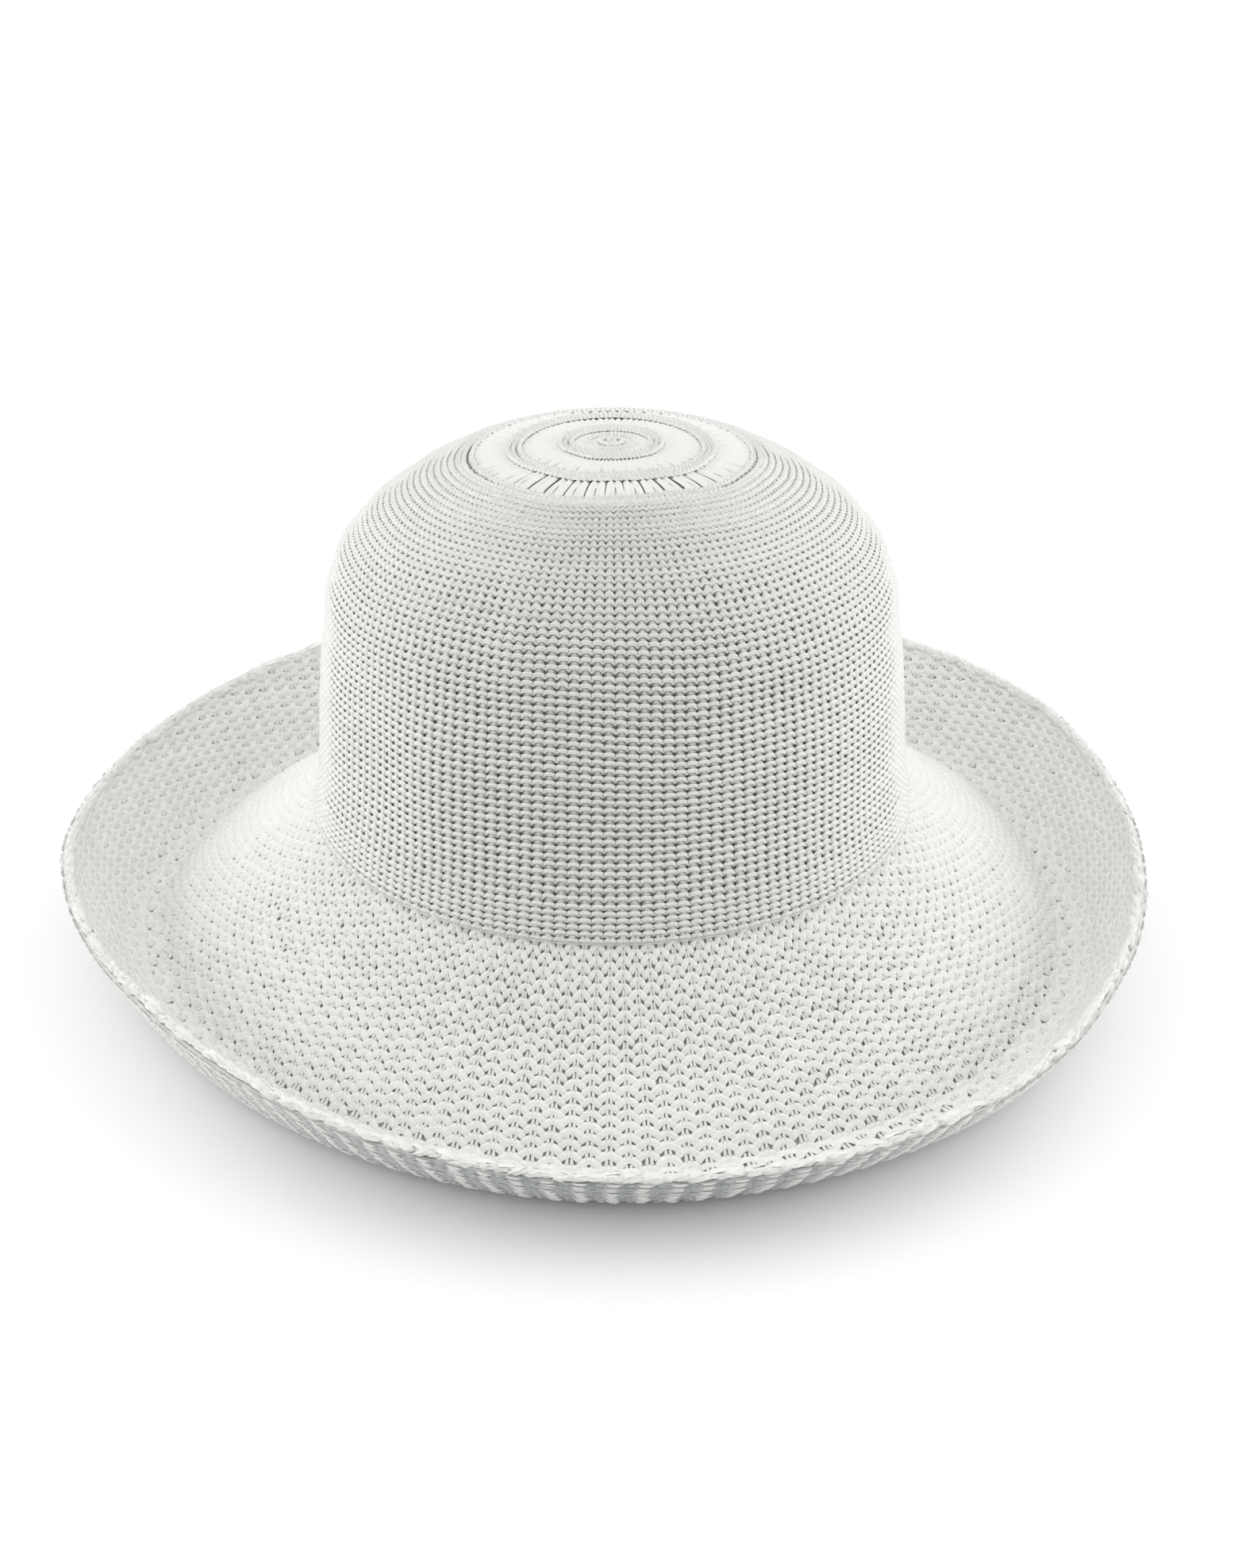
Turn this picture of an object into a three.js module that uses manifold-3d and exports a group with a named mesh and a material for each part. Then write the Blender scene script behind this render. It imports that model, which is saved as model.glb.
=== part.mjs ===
// A knitted sun hat with a round crown and a wide brim that is turned up at its edge.
// Units are millimetres and +Z is up. The hat rests on the flat ring under its brim, at z = 0,
// and the origin is at the middle of its box. -Y is the front.

import * as THREE from 'three';
import Module from 'manifold-3d';
import { mergeVertices } from 'three/addons/utils/BufferGeometryUtils.js';

// Crown sizes
const crownRadius = 95;
const crownHeight = 109.5;
const crownLean = 11;
const crownWall = 2.6;

// The open-work rosette on top of the crown, with two rings of radial slits
const eyeletCount = 43;
const outerEyeletRadius = 36;
const outerEyeletLength = 7;
const outerEyeletWidth = 1.5;
const innerEyeletRadius = 22;
const innerEyeletLength = 6.5;
const innerEyeletWidth = 1.1;

// Brim sizes
const brimDrop = 39;
const brimWall = 2.6;
const rimRadius = 170;
const rimHeight = 30;
const turnReach = 19.5;
const restWidth = 6;

// The thick rolled edge that finishes the brim
const edgeRadius = 2.6;

// Clearance between two pieces that meet
const seamGap = 0.3;

// How finely the surfaces are cut into flat faces
const turns = 56;
const crownRings = 18;
const edgeSides = 8;
const mergeDistance = 0.001;

// How far a slit's cutter reaches below and above the tip, as a share of crownHeight
const slitReach = 0.3;

// Profile of the crown's outside, from the brim to the tip.
// up is a share of crownHeight, out a share of crownRadius.
const crownProfile = [
  { up: 0.000, out: 1.000 },
  { up: 0.090, out: 0.982 },
  { up: 0.183, out: 0.967 },
  { up: 0.365, out: 0.951 },
  { up: 0.548, out: 0.924 },
  { up: 0.675, out: 0.893 },
  { up: 0.785, out: 0.815 },
  { up: 0.876, out: 0.690 },
  { up: 0.938, out: 0.560 },
  { up: 0.968, out: 0.450 },
  { up: 0.986, out: 0.300 },
  { up: 0.997, out: 0.150 },
  { up: 1.000, out: 0.000 },
];

// Soft dents and ridges of the crown's wall. Angles are degrees about +Z from +X, and the front
// is at 270. up and tall are shares of crownHeight, depth a share of crownRadius, and a ridge
// that stands out has a negative depth.
const crownFolds = [
  { name: 'flat_front', angle: 272, spread: 44, up: 0.42, tall: 0.48, depth: 0.020 },
  { name: 'left_corner', angle: 236, spread: 15, up: 0.38, tall: 0.34, depth: -0.012 },
  { name: 'left_dent', angle: 222, spread: 14, up: 0.32, tall: 0.26, depth: 0.012 },
  { name: 'top_ridge', angle: 252, spread: 9, up: 0.72, tall: 0.26, depth: -0.010 },
  { name: 'right_corner', angle: 314, spread: 20, up: 0.50, tall: 0.40, depth: -0.010 },
  { name: 'back_dent', angle: 84, spread: 34, up: 0.45, tall: 0.40, depth: 0.014 },
];

// The brim's plan and the height of its edge, going round. out is a share of rimRadius and up
// of rimHeight. reach is the share of turnReach by which the edge stands out past the flat ring.
const brimPlan = [
  { angle: 0, out: 0.976, up: 1.00, reach: 0.84 },
  { angle: 15, out: 0.994, up: 1.04, reach: 0.94 },
  { angle: 30, out: 1.018, up: 1.09, reach: 1.02 },
  { angle: 60, out: 1.010, up: 1.18, reach: 1.04 },
  { angle: 90, out: 0.997, up: 1.23, reach: 1.00 },
  { angle: 120, out: 0.996, up: 1.19, reach: 1.00 },
  { angle: 150, out: 1.006, up: 1.10, reach: 1.04 },
  { angle: 180, out: 1.011, up: 1.00, reach: 0.98 },
  { angle: 195, out: 0.992, up: 0.98, reach: 0.86 },
  { angle: 210, out: 0.967, up: 0.96, reach: 0.72 },
  { angle: 225, out: 0.955, up: 0.94, reach: 0.70 },
  { angle: 240, out: 0.965, up: 0.90, reach: 0.84 },
  { angle: 270, out: 0.992, up: 0.82, reach: 1.00 },
  { angle: 300, out: 0.993, up: 0.80, reach: 0.94 },
  { angle: 315, out: 0.986, up: 0.82, reach: 0.80 },
  { angle: 330, out: 0.975, up: 0.90, reach: 0.72 },
];

// The brim's middle surface from the crown's foot down to the resting ring.
// out and down are shares of that stretch's width and drop.
const brimFall = [
  { out: 0.000, down: 0.000 },
  { out: 0.010, down: 0.034 },
  { out: 0.036, down: 0.068 },
  { out: 0.080, down: 0.110 },
  { out: 0.145, down: 0.178 },
  { out: 0.240, down: 0.275 },
  { out: 0.395, down: 0.424 },
  { out: 0.560, down: 0.566 },
  { out: 0.740, down: 0.722 },
  { out: 0.880, down: 0.862 },
  { out: 0.955, down: 0.955 },
  { out: 1.000, down: 1.000 },
];

// The middle surface from the resting ring up to the edge, as shares of the reach and the rise.
const brimTurn = [
  { out: 0.00, up: 0.00 },
  { out: 0.22, up: 0.07 },
  { out: 0.45, up: 0.24 },
  { out: 0.65, up: 0.46 },
  { out: 0.83, up: 0.70 },
  { out: 0.94, up: 0.86 },
  { out: 1.00, up: 1.00 },
];

const radians = THREE.MathUtils.degToRad;
const down = new THREE.Vector2(0, -1);
const inward = new THREE.Vector2(-1, 0);

// One column of a table that goes round, smoothly between its rows
function goingRound(table, column, angle) {
  const turn = THREE.MathUtils.euclideanModulo(angle, 360);
  const count = table.length;
  const row = (i) => {
    const lap = Math.floor(i / count);
    const source = table[i - lap * count];
    return { angle: source.angle + 360 * lap, value: source[column] };
  };
  let i = count - 1;
  while (table[i].angle > turn) {
    i -= 1;
  }
  const [before, from, to, after] = [row(i - 1), row(i), row(i + 1), row(i + 2)];
  const span = to.angle - from.angle;
  const share = (turn - from.angle) / span;
  const slopeFrom = span * (to.value - before.value) / (to.angle - before.angle);
  const slopeTo = span * (after.value - from.value) / (after.angle - from.angle);
  const cubic = 2 * from.value - 2 * to.value + slopeFrom + slopeTo;
  const square = 3 * to.value - 3 * from.value - 2 * slopeFrom - slopeTo;
  return ((cubic * share + square) * share + slopeFrom) * share + from.value;
}

// A smooth hump, 1 in the middle and 0 from one half width away
function hump(distance, halfWidth) {
  const share = Math.min(Math.abs(distance) / halfWidth, 1);
  return 0.5 + 0.5 * Math.cos(Math.PI * share);
}

// How much of the crown's radius the folds leave at an angle and a share of its height
function foldedShare(angle, up) {
  let share = 1;
  for (const fold of crownFolds) {
    const aside = THREE.MathUtils.euclideanModulo(angle - fold.angle + 180, 360) - 180;
    share -= fold.depth * hump(aside, fold.spread) * hump(up - fold.up, fold.tall);
  }
  return share;
}

// Directions square to a line of points, to the right of the way it runs
function normalsAlong(points) {
  return points.map((point, i) => {
    const before = points[Math.max(i - 1, 0)];
    const after = points[Math.min(i + 1, points.length - 1)];
    const along = after.clone().sub(before).normalize();
    return new THREE.Vector2(along.y, -along.x);
  });
}

// The crown's section at one angle: its outside from the foot to the tip, then its inside back
const crownCurve = new THREE.SplineCurve(
  crownProfile.map((row) => new THREE.Vector2(row.out, row.up)),
);
const crownShares = crownCurve.getPoints(crownRings);

function crownSection(angle) {
  const outside = crownShares.map((share) => new THREE.Vector2(
    Math.max(share.x, 0) * crownRadius * foldedShare(angle, share.y),
    brimDrop + share.y * crownHeight,
  ));
  const normals = normalsAlong(outside).map((normal) => normal.negate());
  normals[0].copy(inward);
  normals[normals.length - 1].copy(down);
  const inside = outside.map((point, i) => point.clone().addScaledVector(normals[i], crownWall));
  inside[inside.length - 1].x = 0;
  return [...outside, ...inside.reverse()];
}

// The brim's middle line at one angle, with the two rows of its flat resting ring marked
function brimLine(angle) {
  const footRadius = crownRadius * foldedShare(angle, 0) - brimWall / 2;
  const footHeight = brimDrop - seamGap;
  const restHeight = brimWall / 2;
  const endRadius = rimRadius * goingRound(brimPlan, 'out', angle);
  const endHeight = rimHeight * goingRound(brimPlan, 'up', angle) - edgeStand;
  const restOut = endRadius - turnReach * goingRound(brimPlan, 'reach', angle);
  const restIn = restOut - restWidth;
  const fall = brimFall.map((row) => new THREE.Vector2(
    footRadius + row.out * (restIn - footRadius),
    footHeight - row.down * (footHeight - restHeight),
  ));
  const turn = brimTurn.map((row) => new THREE.Vector2(
    restOut + row.out * (endRadius - restOut),
    restHeight + row.up * (endHeight - restHeight),
  ));
  return { points: [...fall, ...turn], restRows: [fall.length - 1, fall.length] };
}

// The brim's section: its under side from the foot to the edge, then its upper side back
function brimSection(angle) {
  const { points, restRows } = brimLine(angle);
  const normals = normalsAlong(points);
  normals[0].copy(inward);
  for (const row of restRows) {
    normals[row].copy(down);
  }
  const under = points.map((point, i) => point.clone().addScaledVector(normals[i], brimWall / 2));
  const upper = points.map((point, i) => point.clone().addScaledVector(normals[i], -brimWall / 2));
  return [...under, ...upper.reverse()];
}

// The rolled edge's section, a polygon with one side on the end of the brim
const edgeApothem = edgeRadius * Math.cos(Math.PI / edgeSides);
const edgeStand = seamGap + edgeApothem + edgeRadius;

function edgeSection(angle) {
  const { points } = brimLine(angle);
  const end = points[points.length - 1];
  const along = end.clone().sub(points[points.length - 2]).normalize();
  const middle = end.clone().addScaledVector(along, seamGap + edgeApothem);
  const start = along.angle() + Math.PI + Math.PI / edgeSides;
  return Array.from({ length: edgeSides }, (_, i) => {
    const spin = start + i * 2 * Math.PI / edgeSides;
    return new THREE.Vector2(
      middle.x + edgeRadius * Math.cos(spin),
      middle.y + edgeRadius * Math.sin(spin),
    );
  });
}

// A closed surface through the sections at even angles round +Z, each a closed loop of points.
// Points that fall together on the axis are joined. leanAt moves a level back by its height.
function sweptRound(sectionAt, leanAt) {
  const positions = [];
  const faces = [];
  const step = 360 / turns;
  const sections = Array.from({ length: turns }, (_, j) => sectionAt(j * step));
  const rows = sections[0].length;
  sections.forEach((section, j) => {
    const spin = radians(j * step);
    for (const point of section) {
      positions.push(point.x * Math.cos(spin));
      positions.push(point.x * Math.sin(spin) + leanAt(point.y));
      positions.push(point.y);
    }
    const next = (j + 1) % turns;
    for (let i = 0; i < rows; i += 1) {
      const above = (i + 1) % rows;
      const [a, b] = [j * rows + i, next * rows + i];
      const [c, d] = [next * rows + above, j * rows + above];
      faces.push(a, b, c, a, c, d);
    }
  });
  const geometry = new THREE.BufferGeometry();
  geometry.setAttribute('position', new THREE.Float32BufferAttribute(positions, 3));
  geometry.setIndex(faces);
  return withoutEmptyFaces(mergeVertices(geometry, mergeDistance));
}

// Drops the triangles that have shrunk to a line
function withoutEmptyFaces(geometry) {
  const kept = [];
  const index = geometry.getIndex().array;
  for (let i = 0; i < index.length; i += 3) {
    const [a, b, c] = [index[i], index[i + 1], index[i + 2]];
    if (a !== b && b !== c && c !== a) {
      kept.push(a, b, c);
    }
  }
  geometry.setIndex(kept);
  return geometry;
}

const upright = () => 0;
const crownLeanAt = (height) => crownLean * (height - brimDrop) / crownHeight;

// Cuts the two rings of slits through the top of the crown
const wasm = await Module();
wasm.setup();

function solidFrom(geometry) {
  const bare = geometry.clone();
  bare.deleteAttribute('normal');
  bare.deleteAttribute('uv');
  const merged = mergeVertices(bare, mergeDistance);
  return new wasm.Manifold(new wasm.Mesh({
    numProp: 3,
    vertProperties: new Float32Array(merged.getAttribute('position').array),
    triVerts: new Uint32Array(merged.getIndex().array),
  }));
}

function geometryFrom(solid) {
  const mesh = solid.getMesh();
  const geometry = new THREE.BufferGeometry();
  geometry.setAttribute('position', new THREE.Float32BufferAttribute(mesh.vertProperties, 3));
  geometry.setIndex(new THREE.Uint32BufferAttribute(mesh.triVerts, 1));
  return geometry;
}

function slit(ringRadius, length, width, turn) {
  const tall = slitReach * crownHeight;
  const box = new THREE.BoxGeometry(length, width, tall);
  box.translate(ringRadius, 0, brimDrop + crownHeight);
  box.rotateZ(turn);
  box.translate(0, crownLeanAt(brimDrop + crownHeight), 0);
  return solidFrom(box);
}

function crownGeometry() {
  let crown = solidFrom(sweptRound(crownSection, crownLeanAt));
  for (let i = 0; i < eyeletCount; i += 1) {
    const turn = i * 2 * Math.PI / eyeletCount;
    const half = Math.PI / eyeletCount;
    crown = crown.subtract(slit(outerEyeletRadius, outerEyeletLength, outerEyeletWidth, turn));
    crown = crown.subtract(slit(innerEyeletRadius, innerEyeletLength, innerEyeletWidth, turn + half));
  }
  return geometryFrom(crown);
}

// The hat's pieces, each with the colour of its yarn
function piece(name, geometry, color, roughness) {
  const material = new THREE.MeshStandardMaterial({ color, roughness, metalness: 0 });
  const mesh = new THREE.Mesh(geometry, material);
  mesh.name = name;
  return mesh;
}

const hat = new THREE.Group();
hat.add(piece('crown', crownGeometry(), 0xe6e7e4, 0.8));
hat.add(piece('brim', sweptRound(brimSection, upright), 0xeaebe6, 0.8));
hat.add(piece('brim_edge', sweptRound(edgeSection, upright), 0xf0f1ec, 0.7));

// The origin is put at the middle of the hat's box, on the surface it rests on
const middle = new THREE.Box3().setFromObject(hat).getCenter(new THREE.Vector3());
hat.position.set(-middle.x, -middle.y, 0);

export default hat;
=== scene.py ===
# %% [markdown]
# # A knitted sun hat with a turned-up brim
# The real hat is one piece of knitting. A thick off-white yarn goes round and round from the
# middle of the crown, down the wall, out over the brim and up to a plaited edge. Here every
# course of that yarn is a tube that runs in loops over the hat's measured shape. The holes, the
# ridges and their shadows then come from the yarn itself, as they do on the hat.

import math

import bpy
import numpy as np
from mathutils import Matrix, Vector


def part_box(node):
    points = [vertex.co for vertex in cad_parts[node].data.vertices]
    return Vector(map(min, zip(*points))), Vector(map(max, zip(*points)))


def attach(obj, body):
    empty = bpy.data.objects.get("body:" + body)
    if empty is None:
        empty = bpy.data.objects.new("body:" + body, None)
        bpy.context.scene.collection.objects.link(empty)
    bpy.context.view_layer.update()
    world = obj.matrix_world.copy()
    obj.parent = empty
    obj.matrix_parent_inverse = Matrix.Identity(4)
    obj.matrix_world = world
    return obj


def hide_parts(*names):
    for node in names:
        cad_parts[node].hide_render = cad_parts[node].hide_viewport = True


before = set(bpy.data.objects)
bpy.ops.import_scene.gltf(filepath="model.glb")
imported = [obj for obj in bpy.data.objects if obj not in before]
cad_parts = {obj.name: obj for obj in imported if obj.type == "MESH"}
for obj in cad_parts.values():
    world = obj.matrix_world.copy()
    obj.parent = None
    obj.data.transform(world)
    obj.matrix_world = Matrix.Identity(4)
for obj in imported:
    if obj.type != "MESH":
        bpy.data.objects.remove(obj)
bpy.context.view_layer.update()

# %% [markdown]
# ## Sizes and tables
# The frame gives the crown's place and size. The brim's line is too rich for a box, so its
# tables are written out here again: how far the edge stands out and up at each angle, and how
# the section falls from the crown, rests and turns up. Lengths are in millimetres, which is how
# a knitter would measure them, and they become metres when a mesh is made.

# %% Sizes and tables
MM = 0.001
TURN = 2 * math.pi

crown_low, crown_high = (np.array(corner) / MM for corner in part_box("crown"))
crown_radius = (crown_high[0] - crown_low[0]) / 2
crown_height = crown_high[2] - crown_low[2]
brim_drop = crown_low[2]
hat_middle = np.array([(crown_low[0] + crown_high[0]) / 2, crown_low[1] + crown_radius])

# How far the crown's top stands back from its foot, and how wide the rosette is
crown_lean = 11.0
rosette_radius = 44.0

# The middle of the hat's front, in degrees. The crown folds in there, and the knit is stretched
# most and painted with the most shade. The spreads say how far that reaches to each side: for the
# crown's holes, for the brim's holes and for the painted shade under the brim
front_angle = 272
crown_open_spread = 68
brim_open_spread = 78
back_shade_spread = 62

# The crown's outline: share of its height, share of its radius
crown_profile = np.array([
    (0.000, 1.000), (0.090, 0.982), (0.183, 0.967), (0.365, 0.951), (0.548, 0.924),
    (0.675, 0.893), (0.785, 0.815), (0.876, 0.690), (0.938, 0.560), (0.968, 0.450),
    (0.986, 0.300), (0.997, 0.150), (1.000, 0.000),
])

# Soft folds of the crown: angle, spread, place and spread up the wall, depth
crown_folds = [
    (front_angle, 44, 0.42, 0.48, 0.020),
    (236, 15, 0.38, 0.34, -0.012),
    (222, 14, 0.32, 0.26, 0.012),
    (252, 9, 0.72, 0.26, -0.010),
    (314, 20, 0.50, 0.40, -0.010),
    (84, 34, 0.45, 0.40, 0.014),
]

rim_radius = 170.0
rim_height = 30.0
turn_reach = 19.5
rest_width = 6.0
brim_wall = 2.6
edge_radius = 2.6
edge_stand = 5.3

# The brim's edge: angle, share of rim_radius, share of rim_height, share of turn_reach
brim_plan = np.array([
    (0, 0.976, 1.00, 0.84), (15, 0.994, 1.04, 0.94), (30, 1.018, 1.09, 1.02),
    (60, 1.010, 1.18, 1.04), (90, 0.997, 1.23, 1.00), (120, 0.996, 1.19, 1.00),
    (150, 1.006, 1.10, 1.04), (180, 1.011, 1.00, 0.98), (195, 0.992, 0.98, 0.86),
    (210, 0.967, 0.96, 0.72), (225, 0.955, 0.94, 0.70), (240, 0.965, 0.90, 0.84),
    (270, 0.992, 0.82, 1.00), (300, 0.993, 0.80, 0.94), (315, 0.986, 0.82, 0.80),
    (330, 0.975, 0.90, 0.72),
])

# The brim's section: shares of its width and drop, then of its reach and rise
brim_fall = np.array([
    (0.000, 0.000), (0.010, 0.034), (0.036, 0.068), (0.080, 0.110), (0.145, 0.178),
    (0.240, 0.275), (0.395, 0.424), (0.560, 0.566), (0.740, 0.722), (0.880, 0.862),
    (0.955, 0.955), (1.000, 1.000),
])
brim_turn = np.array([
    (0.00, 0.00), (0.22, 0.07), (0.45, 0.24), (0.65, 0.46), (0.83, 0.70), (0.94, 0.86),
    (1.00, 1.00),
])


def smooth_line(knots, values, at):
    """A smooth line through the rows of a table, read at some places."""
    steps = np.diff(values) / np.diff(knots)
    before = np.concatenate([steps[:1], steps])
    after = np.concatenate([steps, steps[-1:]])
    slopes = np.where(before * after > 0, np.gradient(values, knots), 0.0)
    i = np.clip(np.searchsorted(knots, at, side="right") - 1, 0, len(knots) - 2)
    span = knots[i + 1] - knots[i]
    t = (at - knots[i]) / span
    start = values[i] + t * slopes[i] * span
    end = values[i + 1] - (1 - t) * slopes[i + 1] * span
    return start + (end - start) * t * t * (3 - 2 * t)


print("crown radius", round(crown_radius, 1), "height", round(crown_height, 1))

# %% [markdown]
# ## The shape that the knit lies on
# Knitting is soft, so it takes the shape of what it covers. Two functions give that shape: for
# an angle round the hat and a way along the yarn's columns, they give a point. Ways are true
# lengths, so that stitches come out evenly spaced. A third function gives the point together
# with the direction that faces out, which says where the front of the knit is.

# %% The crown's surface
profile_shares = np.linspace(0, len(crown_profile) - 1, 1500)
profile_rows = np.arange(len(crown_profile))
profile_up = smooth_line(profile_rows, crown_profile[:, 0], profile_shares)
profile_out = smooth_line(profile_rows, crown_profile[:, 1], profile_shares)
profile_way = np.concatenate([[0], np.cumsum(np.hypot(
    np.diff(profile_out) * crown_radius, np.diff(profile_up) * crown_height))])
crown_way = profile_way[-1]

# The rosette's rim stands a little higher at the back: height, radius, spread
back_lift, lift_radius, lift_spread = 1.3, 36, 30


def hump(distance):
    """1 in the middle and 0 from a distance of 1 on."""
    return 0.5 + 0.5 * np.cos(np.pi * np.minimum(np.abs(distance), 1))


def folded(angle, up):
    """How much of the crown's radius the folds leave."""
    share = np.ones(np.broadcast(angle, up).shape)
    for middle, spread, place, tall, depth in crown_folds:
        aside = (np.degrees(angle) - middle + 180) % 360 - 180
        share -= depth * hump(aside / spread) * hump((up - place) / tall)
    return share


def crown_at(angle, way):
    """A point of the crown's outside, way millimetres up from its foot."""
    up = np.interp(way, profile_way, profile_up)
    out = np.interp(way, profile_way, profile_out) * crown_radius * folded(angle, up)
    back = back_lift * np.maximum(np.sin(angle), 0)
    back = back * hump((out - lift_radius) / lift_spread) * (up > 0.7)
    return np.stack([
        hat_middle[0] + out * np.cos(angle),
        hat_middle[1] + out * np.sin(angle) + crown_lean * up,
        brim_drop + up * crown_height + back,
    ], axis=-1)


print("from foot to tip", round(crown_way, 1), "mm")

# %% The brim's surface
plan_knots = np.radians(np.concatenate([
    brim_plan[-2:, 0] - 360, brim_plan[:, 0], brim_plan[:2, 0] + 360]))
plan_rows = np.concatenate([brim_plan[-2:], brim_plan, brim_plan[:2]])

# The section's rows on a mean section, and how far each lies along it
mean_foot = crown_radius - brim_wall / 2
mean_rest = rim_radius - turn_reach - rest_width
mean_fall = np.stack([
    mean_foot + brim_fall[:, 0] * (mean_rest - mean_foot),
    brim_drop * (1 - brim_fall[:, 1]),
], axis=1)
mean_turn = np.stack([
    mean_rest + rest_width + brim_turn[:, 0] * turn_reach,
    brim_turn[:, 1] * (rim_height - edge_stand),
], axis=1)
mean_rows = np.concatenate([mean_fall, mean_turn])
row_way = np.concatenate([[0], np.cumsum(np.hypot(*np.diff(mean_rows, axis=0).T))])
brim_way = row_way[-1]
rest_way = row_way[len(brim_fall)]
ones = np.ones(len(brim_turn))
zeros = np.zeros(len(brim_fall))
fall_out = np.concatenate([brim_fall[:, 0], ones])
fall_down = np.concatenate([brim_fall[:, 1], ones])
rest_out = np.concatenate([zeros, ones])
turn_out = np.concatenate([zeros, brim_turn[:, 0]])
turn_up = np.concatenate([zeros, brim_turn[:, 1]])

# Past its last row the wall goes on straight: how far out and up for each millimetre
wall_out, wall_up = 0.35, 0.9


def brim_at(angle, way):
    """A point of the brim's middle layer, way millimetres out from the crown."""
    spot = np.mod(angle, TURN)
    past = np.maximum(way - brim_way, 0)
    above = np.maximum(-way, 0)
    way = np.broadcast_to(np.clip(way, 0, brim_way), spot.shape)
    edge_out = rim_radius * smooth_line(plan_knots, plan_rows[:, 1], spot)
    edge_up = rim_height * smooth_line(plan_knots, plan_rows[:, 2], spot) - edge_stand
    reach = turn_reach * smooth_line(plan_knots, plan_rows[:, 3], spot)
    foot = crown_radius * folded(angle, np.zeros(spot.shape)) - brim_wall / 2
    rest = edge_out - reach - rest_width
    low = brim_wall / 2
    out = foot + (rest - foot) * smooth_line(row_way, fall_out, way)
    out = out + rest_width * smooth_line(row_way, rest_out, way)
    out = out + reach * smooth_line(row_way, turn_out, way)
    up = brim_drop - (brim_drop - low) * smooth_line(row_way, fall_down, way)
    up = up + (edge_up - low) * smooth_line(row_way, turn_up, way)
    return np.stack([
        hat_middle[0] + (out + wall_out * past) * np.cos(angle),
        hat_middle[1] + (out + wall_out * past) * np.sin(angle),
        up + wall_up * past + above,
    ], axis=-1)


def unit(vectors):
    """The same directions, all of length 1."""
    return vectors / np.maximum(np.linalg.norm(vectors, axis=-1, keepdims=True), 1e-9)


def placed(surface, angle, way, inset):
    """Points inset millimetres behind the surface, and the direction that faces out of it."""
    near, step = 0.004, 0.4
    round_it = surface(angle + near, way) - surface(angle - near, way)
    up_it = surface(angle, way + step) - surface(angle, way - step)
    facing = unit(np.cross(round_it, up_it))
    if surface is brim_at:
        facing = -facing
    return surface(angle, way) - facing * np.asarray(inset)[..., None], facing


print("from crown to edge", round(brim_way, 1), "mm")

# %% [markdown]
# ## Yarn
# A yarn is a long soft tube. Curves with a round section could make it, but then each of the
# tens of thousands of stitches would cost many faces. So a yarn is rings of three points around
# a centre line, joined into faces. One point of each ring faces out, so the tube looks round
# from the front. The other two run along its foot as hems, with a flat underside between them.
# Many yarns are computed together as arrays, because one after another would take too long.

# %% From centre lines to yarn
around = 3
top_point = 1
hem_drop = 0.22


def yarns(lines, facing, width, closed, depth=0.0, tone=0.0, height=0.8):
    """Tubes along centre lines, given as an array of yarns, points and coordinates."""
    count, points = lines.shape[:2]
    if closed:
        ahead = np.roll(lines, -1, axis=1)
        behind = np.roll(lines, 1, axis=1)
    else:
        ahead = np.concatenate([lines[:, 1:], lines[:, -1:]], axis=1)
        behind = np.concatenate([lines[:, :1], lines[:, :-1]], axis=1)
    along = unit(ahead - behind)
    aside = unit(np.cross(along, facing))
    out = np.cross(aside, along)
    width = np.broadcast_to(width, (count, points))[..., None]
    ring = [(0.5, -hem_drop * height), (0.0, 0.5 * height), (-0.5, -hem_drop * height)]
    rings = np.stack([
        lines + aside * width * across + out * width * up for across, up in ring
    ], axis=2)
    index = np.arange(count * points * around).reshape(count, points, around)
    here = index if closed else index[:, :-1]
    there = np.roll(index, -1, axis=1) if closed else index[:, 1:]
    sides = np.stack([
        here, there, np.roll(there, -1, axis=2), np.roll(here, -1, axis=2)], axis=-1)
    length = np.linalg.norm(ahead - lines, axis=-1)
    reached = np.cumsum(length, axis=1) - length
    start = reached if closed else reached[:, :-1]
    end = (reached + length) if closed else (reached + length)[:, :-1]
    start, end = (np.repeat(v[..., None], around, axis=2) for v in (start, end))
    left = np.broadcast_to(np.arange(around) / around, start.shape)
    right = left + 1 / around
    maps = np.stack([start, left, end, left, end, right, start, right], axis=-1)
    caps = np.zeros((0, 3), int)
    if not closed:
        caps = np.concatenate([index[:, 0], index[:, -1, ::-1]])
    # The depth layer is how much painted shade the material gives a point, the tone a loop's own
    # small change of colour
    layers = {
        "depth": np.repeat(np.broadcast_to(depth, (count, points)).reshape(-1), around),
        "tone": np.repeat(np.broadcast_to(tone, (count, points)).reshape(-1), around),
    }
    return {
        "points": rings.reshape(-1, 3),
        "sides": sides.reshape(-1, 4),
        "maps": maps.reshape(-1, 8),
        "caps": caps.reshape(-1, 3),
        "layers": layers,
    }


print("each ring of a yarn has", around, "points")

# %% [markdown]
# ## From yarn to pieces
# A piece of the hat is one mesh with all its yarns. Each point keeps how deep its yarn lies in
# the knit, which the material paints as shade, and how light its loop is. A map of length along
# the yarn and place round it carries the filaments. The hems are marked sharp, because shading
# that ran smoothly round them would darken the sides of every yarn.

# %% From yarn to pieces
made = {}
chance = np.random.default_rng(7)


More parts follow.
